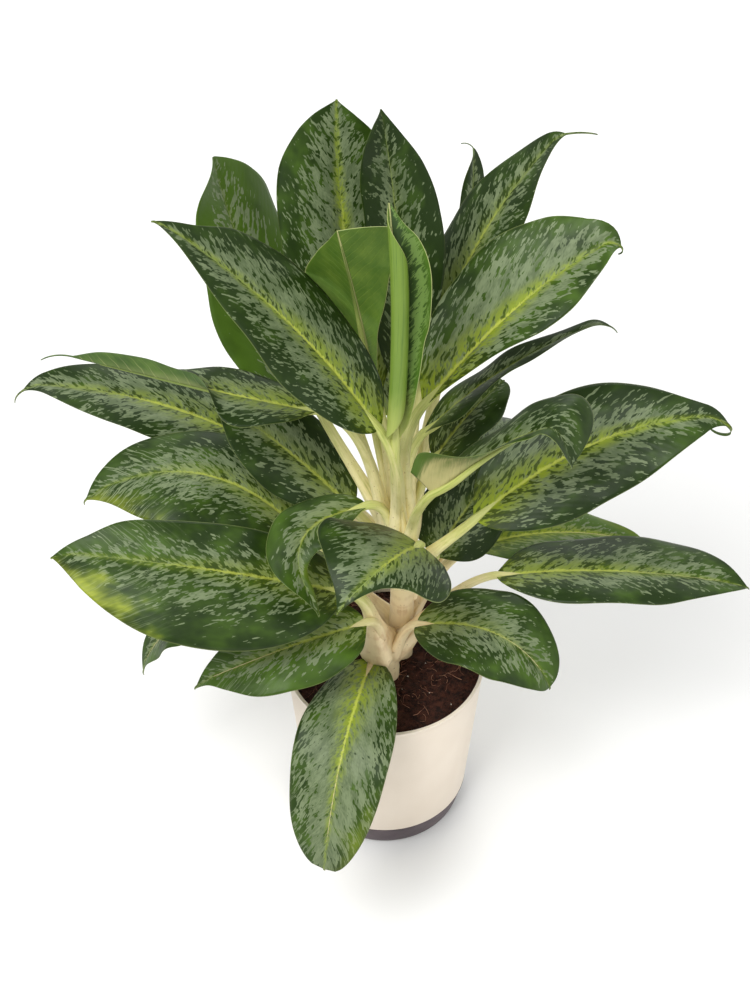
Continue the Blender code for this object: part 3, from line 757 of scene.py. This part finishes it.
def blade_frame(blade, along):
    """The blade's directions at one place: along the midrib, to its left, and out of its upper face."""
    step = 0.001
    ahead = midrib(blade, min(1, along + step))
    forward = (ahead - midrib(blade, max(0, along - step))).normalized()
    level = UP.cross(forward).normalized()
    up = forward.cross(level)
    turn = radians(blade.roll)
    return forward, level * cos(turn) + up * sin(turn), up * cos(turn) - level * sin(turn)


def spine(blade, along):
    """A point on the midrib with its directions. Past 1 it follows the tip's tail, which curls down."""
    if along <= 1:
        return (midrib(blade, along), *blade_frame(blade, along))
    length, turn = blade.drip
    forward, side, up = blade_frame(blade, 1)
    full = radians(turn)
    part = full * (along - 1) / TAIL
    point = midrib(blade, 1) + (forward * sin(part) - up * (1 - cos(part))) * (length / full)
    return point, forward * cos(part) - up * sin(part), side, up * cos(part) + forward * sin(part)


def eased(first, last, leaving, arriving, share):
    """A place on the smooth way from first to last that leaves and arrives as given."""
    square, cube = share ** 2, share ** 3
    return (
        first * (2 * cube - 3 * square + 1) + leaving * (cube - 2 * square + share)
        + last * (3 * square - 2 * cube) + arriving * (cube - square)
    )


def edge_slope(points, number):
    """The slope of an edge at one of its points, from its neighbours."""
    before = points[max(0, number - 1)]
    after = points[min(len(points) - 1, number + 1)]
    return (after[1] - before[1]) / (after[0] - before[0])


def edge_height(points, place):
    """A smooth curve through an edge's points."""
    number = 0
    while number < len(points) - 2 and place > points[number + 1][0]:
        number += 1
    (first, low), (last, high) = points[number], points[number + 1]
    span = last - first
    leaving, arriving = [edge_slope(points, number + step) * span for step in (0, 1)]
    return eased(low, high, leaving, arriving, (place - first) / span)


def half_width(blade, along, across):
    """The half's own edge, or a rounded base, the widest place at peak, and a pointed or blunt tip."""
    tip = TIP_HALF_WIDTH * blade.drip_width
    edge = blade.left_edge if across > 0 else blade.right_edge
    if along > 1:
        share = min(1.0, (along - 1) / TAIL)
        start = max(edge[-1][1] / 1000, tip) if edge else tip
        return start * (1 - share) ** 0.6 + TAIL_HALF_WIDTH * share
    least = BASE_HALF_WIDTH * (1 - along) + tip * along
    if edge:
        return max(edge_height(edge, along * 100) / 1000, least)
    peak = blade.peak
    if along < peak:
        share = (1 - (1 - along / peak) ** BASE_BULGE) ** BASE_ROUNDING
    else:
        share = (1 - ((along - peak) / (1 - peak)) ** TIP_SLOPE) ** blade.blunt
    return max(blade.width / 2 * share, least)


def lifted(blade, along, across):
    """The extra angle of the half that the blade's lift names."""
    half, angle, start, end = blade.lift
    if (across > 0) != (half > 0):
        return 0
    share = min(1.0, max(0.0, (along - start) / (end - start)))
    return angle * share ** 2 * (3 - 2 * share)


def blade_surface(blade, along, across):
    """A point of the upper face, the direction out of it, and its distance from the midrib."""
    point, _, side, up = spine(blade, along)
    direction = 1 if across > 0 else -1
    uneven = 1 + UNEVEN * noise.noise(Vector((along * 3, direction * 5, blade.seed)))
    half = half_width(blade, along, across) * uneven
    fold, curl = blade.left if across > 0 else blade.right
    fold += lifted(blade, along, across)
    curl = curl * half / (blade.width / 2)
    reach = abs(across) / SLOPE_STEPS
    out = 0
    rise = 0
    for step in range(SLOPE_STEPS):
        slope = radians(fold + curl * (step + 0.5) * reach)
        out += cos(slope) * reach
        rise += sin(slope) * reach
    slope = radians(fold + curl * abs(across))
    inner = min(along, 1)
    fullness = 4 * inner * (1 - inner)
    start = 0 if across > 0 else RIGHT_WAVE_START
    wave = blade.wave * sin(tau * WAVES * inner + start)
    wave += RIPPLE * noise.noise(Vector((inner * 7, across * 1.5, blade.seed)))
    ripple = wave * across ** 2 * fullness
    off = abs(across) * half
    groove = GROOVE_DEPTH * exp(-(off / GROOVE_WIDTH) ** 2) * (1 - inner) ** 0.5
    surface = point + side * (direction * out * half) + up * (rise * half + ripple - groove)
    outward = up * cos(slope) - side * (direction * sin(slope))
    return surface, outward, direction * off


def blade_piece(blade, looks):
    """One blade: a flat slab of unit size whose points are carried to the blade's two faces."""
    most_curl = max(abs(blade.left[1]), abs(blade.right[1]))
    columns = ROLLED_COLUMNS if most_curl > ROLLED_CURL else BLADE_COLUMNS
    length = (blade.middle - blade.base).length + (blade.tip - blade.middle).length
    shape = new_shape()
    bmesh.ops.create_grid(shape, x_segments=BLADE_STEPS, y_segments=columns, size=1)
    bmesh.ops.solidify(shape, geom=shape.faces[:], thickness=SLAB)
    top = max(vert.co.z for vert in shape.verts)
    for face in shape.faces:
        below = face.calc_center_median().z < top - SLAB * 0.7
        face.material_index = 1 if below else 0
    for vert in shape.verts:
        even = (vert.co.x + 1) / 2
        along = (even - END_CROWDING * sin(tau * even)) * (1 + TAIL)
        across = vert.co.y
        upper = vert.co.z > top - SLAB / 2
        surface, outward, off = blade_surface(blade, along, across)
        thickness = MARGIN + (LAMINA - MARGIN) * (1 - abs(across) ** 6)
        vert.co = surface if upper else surface - outward * thickness
        mark(shape, vert, (along * length, off, blade.seed), (along, across, blade.cream),
             blade.colours, blade.touches)
    bmesh.ops.recalc_face_normals(shape, faces=shape.faces)
    name = "leaf_" + blade.name
    slot = "blade_young" if blade.young else "blade_green"
    finish_piece(name, shape, looks, slot, "blade_" + blade.name)


def cane_axis(cane, height):
    """The middle of a cane at a height."""
    for low, high in zip(cane, cane[1:]):
        if height <= high[2]:
            break
    share = (height - low[2]) / (high[2] - low[2])
    return Vector(low[:3]).lerp(Vector(high[:3]), share)


def stalk_point(blade, share):
    """A point of the stalk's middle line, from inside the cane to the blade."""
    axis = cane_axis(blade.cane, blade.height)
    end = blade.base
    outward = Vector((end.x - axis.x, end.y - axis.y, 0)).normalized()
    start = axis + outward * STALK_INSET
    span = end - start
    length = span.length
    leave = Vector((LEAVE_OUT * span.x, LEAVE_OUT * span.y, LEAVE_UP * length)).normalized() * length
    arrive = blade_frame(blade, 0)[0] * ARRIVE * length
    return eased(start, end, leave, arrive, share)


def stalk_rings(blade):
    """Rings of a stalk and its rib: (middle, forward, up, radius, share of the sheath, place)."""
    end_radius = blade.stalk * STALK_NARROWING
    points = [stalk_point(blade, step / STALK_RINGS) for step in range(STALK_RINGS)]
    points += [blade.base]
    up = blade_frame(blade, 0)[2]
    rings = []
    for step in range(STALK_RINGS, -1, -1):
        ahead = points[min(step + 1, STALK_RINGS)]
        forward = (ahead - points[max(step - 1, 0)]).normalized()
        up = (up - forward * up.dot(forward)).normalized()
        share = step / STALK_RINGS
        sheath = max(0.0, 1 - share / SHEATH_REACH) ** 2 * min(1.0, SHEATH_FOOT + share * SHEATH_RISE)
        radius = blade.stalk * (1 - (1 - STALK_NARROWING) * share) * (1 + blade.sheath * sheath)
        rings.insert(0, (points[step], forward, up, radius, sheath, share * STALK_PART))
    for step in range(1, RIB_RINGS + 1):
        along = RIB_END * step / RIB_RINGS
        point, forward, _, above = spine(blade, along)
        radius = RIB_TIP_RADIUS + (end_radius - RIB_TIP_RADIUS) * (1 - along / RIB_END) ** 1.5
        sink = radius * RIB_SINK * min(1.0, along / RIB_SINK_RUN)
        sink += GROOVE_DEPTH * 0.6 * (1 - along) ** 0.5
        place = STALK_PART + (1 - STALK_PART) * along
        rings.append((point - above * sink, forward, above, radius, 0, place))
    return rings


def tube(shape, rings, sides, seed, channel=0.0):
    """A closed tube through rings, wrapped from a grid whose long edges then meet."""
    last = len(rings) + 1
    made = bmesh.ops.create_grid(shape, x_segments=last, y_segments=sides, size=1)
    run = [0]
    for first, second in zip(rings, rings[1:]):
        run.append(run[-1] + (second[0] - first[0]).length)
    for vert in made["verts"]:
        step = round((vert.co.x + 1) / 2 * last) - 1
        turn = vert.co.y * pi
        pole = step < 0 or step >= len(rings)
        step = min(max(step, 0), len(rings) - 1)
        middle, forward, up, radius, sheath, share = rings[step]
        side = up.cross(forward)
        hollow = channel * (1 - 0.5 * share) * exp(-(turn / CHANNEL_WIDTH) ** 2)
        wings = sum(exp(-((turn - place) / WING_WIDTH) ** 2) for place in (WING_TURN, -WING_TURN))
        size = 0 if pole else radius * (1 - hollow + WING_SIZE * sheath * wings)
        vert.co = middle + (up * cos(turn) + side * sin(turn)) * size
        mark(shape, vert, (run[step], 0, 0), (share, abs(turn) / pi, seed))
    bmesh.ops.remove_doubles(shape, verts=made["verts"], dist=TOUCHING)


def cane_rings(cane):
    """Rings of a cane, with the low ridges that old leaves leave."""
    rings = []
    bottom, top = cane[0][2], cane[-1][2]
    for step in range(CANE_STEPS + 1):
        share = step / CANE_STEPS
        height = bottom + (top - bottom) * share
        radius = cane[0][3] + (cane[-1][3] - cane[0][3]) * share
        ridge = RIDGE_HEIGHT * max(0.0, cos(tau * height / RIDGE_PITCH)) ** 6
        rings.append((cane_axis(cane, height), UP, Vector((0, -1, 0)), radius + ridge, 0, 0))
    return rings


def shoot_piece(name, cane, skin):
    """A cane and its stalks, each of which runs on under its blade as the rib."""
    shape = new_shape()
    tube(shape, cane_rings(cane), STALK_SIDES * 2, 1.5)
    for blade in LEAVES:
        if blade.cane is cane:
            tube(shape, stalk_rings(blade), STALK_SIDES, blade.seed, CHANNEL_DEPTH)
    bmesh.ops.recalc_face_normals(shape, faces=shape.faces)
    finish_piece("stalks_" + name, shape, [skin], "stalk_cream", "shoot_" + name)


def pot_radius(height):
    share = (height - FOOT_HEIGHT) / (POT_HEIGHT - FOOT_HEIGHT)
    return FOOT_TOP_RADIUS + share * (POT_TOP_RADIUS - FOOT_TOP_RADIUS)


def turned(profile):
    """A bmesh turned about Z from a closed profile of (radius, height)."""
    shape = new_shape()
    verts = [shape.verts.new((radius, 0, height)) for radius, height in profile]
    edges = [shape.edges.new(pair) for pair in zip(verts, verts[1:] + verts[:1])]
    bmesh.ops.spin(shape, geom=verts + edges, cent=(0, 0, 0), axis=UP, angle=tau,
                   steps=ROUND_STEPS, use_merge=True)
    bmesh.ops.remove_doubles(shape, verts=shape.verts, dist=TOUCHING)
    bmesh.ops.recalc_face_normals(shape, faces=shape.faces)
    return shape


def corner(middle, radius, first, last, steps=6):
    """Points of a rounded corner, from one angle to another, in degrees."""
    turns = [radians(first + (last - first) * step / steps) for step in range(steps + 1)]
    return [(middle[0] + radius * cos(turn), middle[1] + radius * sin(turn)) for turn in turns]


def pot_piece():
    """The cream wall with a soft turned-out lip and a small rounding above the foot."""
    top = pot_radius(POT_HEIGHT)
    under_lip = POT_HEIGHT - LIP_HEIGHT
    bottom = FOOT_HEIGHT + SEAM
    soft = WALL_ROUNDING
    profile = corner((top - POT_WALL + soft, POT_HEIGHT - soft), soft, 180, 90)
    profile += corner((top + LIP_REACH - soft, POT_HEIGHT - soft), soft, 90, 0)
    profile += corner((pot_radius(under_lip) + LIP_REACH - soft, under_lip + soft), soft, 0, -90)
    profile += [(pot_radius(under_lip) + UNDER_LIP_OUT, under_lip - UNDER_LIP_DOWN)]
    profile += corner((pot_radius(bottom) - soft, bottom + soft), soft, 0, -90)
    profile += [(pot_radius(bottom) - POT_WALL, bottom)]
    finish_piece("pot", turned(profile), [pot_plastic()], "pot_cream", "pot_wall")


def foot_piece():
    """The dark tray that closes the pot below."""
    soft = FOOT_TOP_ROUNDING
    profile = [(AXIS_RADIUS, FOOT_FLOOR), (FOOT_RADIUS - POT_WALL, FOOT_FLOOR)]
    profile += [(FOOT_TOP_RADIUS - POT_WALL, FOOT_HEIGHT - TRAY_EDGE_DROP)]
    profile += corner((FOOT_TOP_RADIUS - soft, FOOT_HEIGHT - soft), soft, 90, 0, 4)
    profile += corner((FOOT_RADIUS - FOOT_INSET, FOOT_ROUNDING), FOOT_ROUNDING, -12, -90)
    profile += [(AXIS_RADIUS, 0)]
    finish_piece("foot", turned(profile), [foot_plastic()], "pot_dark", "pot_foot")


def soil_height(x, y):
    """The height of the peat's uneven top."""
    crown = SOIL_TOP + SOIL_CROWN * (1 - (x * x + y * y) / POT_TOP_RADIUS ** 2)
    broad = noise.noise(Vector((x * BROAD_OFTEN, y * BROAD_OFTEN, 3.1)))
    small = noise.fractal(Vector((x * SMALL_OFTEN, y * SMALL_OFTEN, 8.7)), 0.7, 2.1, 4)
    return crown + BROAD_SWELL * broad + SMALL_SWELL * small


def soil_piece(look):
    """The peat: a crust with an uneven top, closed below inside the pot."""
    shape = new_shape()
    bmesh.ops.create_grid(shape, x_segments=SOIL_RINGS, y_segments=SOIL_SPOKES, size=1)
    wall = pot_radius(SOIL_TOP) - POT_WALL - SOIL_CLEARANCE
    deep = SOIL_TOP - SOIL_DEPTH
    for vert in shape.verts:
        share = (vert.co.x + 1) / 2
        turn = vert.co.y * pi
        radius = wall * min(1.0, share / TOP_SHARE)
        if share > 0.999:
            radius = 0
        x, y = radius * cos(turn), radius * sin(turn)
        height = soil_height(x, y)
        if share > TOP_SHARE:
            height += (deep - height) * min(1.0, (share - TOP_SHARE) / SIDE_SHARE)
        vert.co = (x, y, height)
    bmesh.ops.remove_doubles(shape, verts=shape.verts, dist=TOUCHING)
    bmesh.ops.recalc_face_normals(shape, faces=shape.faces)
    finish_piece("peat", shape, [look], "peat", "soil")


def scatter(chance, edge):
    """A seeded place on the peat, clear of the canes."""
    while True:
        x, y = chance.uniform(-edge, edge), chance.uniform(-edge, edge)
        clear = all((x - cane[0][0]) ** 2 + (y - cane[0][1]) ** 2 > CANE_CLEARANCE ** 2
                    for cane in (UPPER_CANE, LOWER_CANE))
        if x * x + y * y < edge * edge and clear:
            return x, y


def crumbs_piece(name, count, low, high, look, seed):
    """Small rough lumps that lie half sunk in the peat's top."""
    chance = Random(seed)
    shape = new_shape()
    for _ in range(count):
        x, y = scatter(chance, pot_radius(SOIL_TOP) - POT_WALL - high)
        size = low + (high - low) * chance.random() ** 3
        shares = [chance.uniform(*span) for span in CRUMB_SHARES]
        squash = Matrix.Diagonal((*shares, 1))
        turn = Matrix.Rotation(chance.uniform(0, tau), 4, (chance.random(), chance.random(), 1))
        place = Matrix.Translation((x, y, soil_height(x, y) + size * CRUMB_RISE))
        matrix = place @ turn @ squash
        made = bmesh.ops.create_icosphere(shape, subdivisions=1, radius=size, matrix=matrix)
        for vert in made["verts"]:
            middle = place.translation
            vert.co = middle + (vert.co - middle) * chance.uniform(*CRUMB_DENTS)
    finish_piece(name, shape, [look], "peat")


def rootlets_piece(look):
    """Fine dry roots that lie curled on the peat."""
    chance = Random(11)
    shape = new_shape()
    count, thinnest, thickest = ROOTLETS
    for _ in range(count):
        x, y = scatter(chance, ROOTLET_AREA)
        heading = chance.uniform(0, tau)
        bend = chance.uniform(-ROOTLET_BEND, ROOTLET_BEND)
        radius = chance.uniform(thinnest, thickest)
        rings = []
        for step in range(ROOTLET_STEPS + 1):
            lift = ROOTLET_LIFT + ROOTLET_ARCH * sin(pi * step / ROOTLET_STEPS) * chance.random()
            middle = Vector((x, y, soil_height(x, y) + lift))
            forward = Vector((cos(heading), sin(heading), 0))
            rings.append((middle, forward, UP, radius * (1 - step / ROOTLET_TAPER), 0, 0))
            x += ROOTLET_STRIDE * cos(heading)
            y += ROOTLET_STRIDE * sin(heading)
            heading += bend + chance.uniform(-ROOTLET_WANDER, ROOTLET_WANDER)
        tube(shape, rings, ROOTLET_SIDES, 0)
    bmesh.ops.recalc_face_normals(shape, faces=shape.faces)
    finish_piece("rootlets", shape, [look], "peat")


def floor():
    shape = bmesh.new()
    bmesh.ops.create_grid(shape, x_segments=1, y_segments=1, size=FLOOR_REACH)
    ground = meshed("floor", shape, Finish("pale_floor", FLOOR_PALE).finished(0.9))


def lamp(name, place, size, watts):
    """A square soft light that points at the plant."""
    bulb = bpy.data.lights.new(name, "AREA")
    bulb.size = size
    bulb.energy = watts
    light = placed(name, bulb)
    light.location = place
    light.rotation_euler = (Vector(LAMP_AIM) - Vector(place)).to_track_quat("-Z", "Y").to_euler()


def studio():
    """Plain soft light: an even pale surround, a broad key from the upper left and two weaker lamps."""
    world = bpy.data.worlds.new("surround")
    world.use_nodes = True
    glow = world.node_tree.nodes["Background"].inputs
    glow["Color"].default_value = (1, 1, 1, 1)
    glow["Strength"].default_value = SURROUND_STRENGTH
    bpy.context.scene.world = world
    bpy.context.scene.view_settings.view_transform = "Standard"
    for values in LAMPS:
        lamp(*values)


def camera():
    tilt = radians(CAMERA_TILT)
    lens = bpy.data.cameras.new("camera")
    lens.lens = LENS
    lens.sensor_width = 36
    eye = placed("camera", lens)
    forward = Vector((0, cos(tilt), -sin(tilt)))
    eye.location = Vector(CAMERA_AIM) - forward * CAMERA_AWAY
    eye.rotation_euler = (pi / 2 - tilt, 0, 0)
    bpy.context.scene.camera = eye


def main():
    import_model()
    top, under, fresh = upper_face(), lower_face(), young_face()
    for number, blade in enumerate(LEAVES):
        blade.seed = SEED_STEP * number + 1
        blade_piece(blade, [fresh, fresh] if blade.young else [top, under])
    skin = stalk_skin()
    shoot_piece("upper", UPPER_CANE, skin)
    shoot_piece("lower", LOWER_CANE, skin)
    pot_piece()
    foot_piece()
    soil = peat()
    soil_piece(soil)
    crumbs_piece("peat_crumbs", *CRUMBS, soil, 5)
    crumbs_piece("perlite_bits", *PERLITE, perlite_skin(), 8)
    rootlets_piece(rootlet_skin())
    floor()
    studio()
    camera()


main()
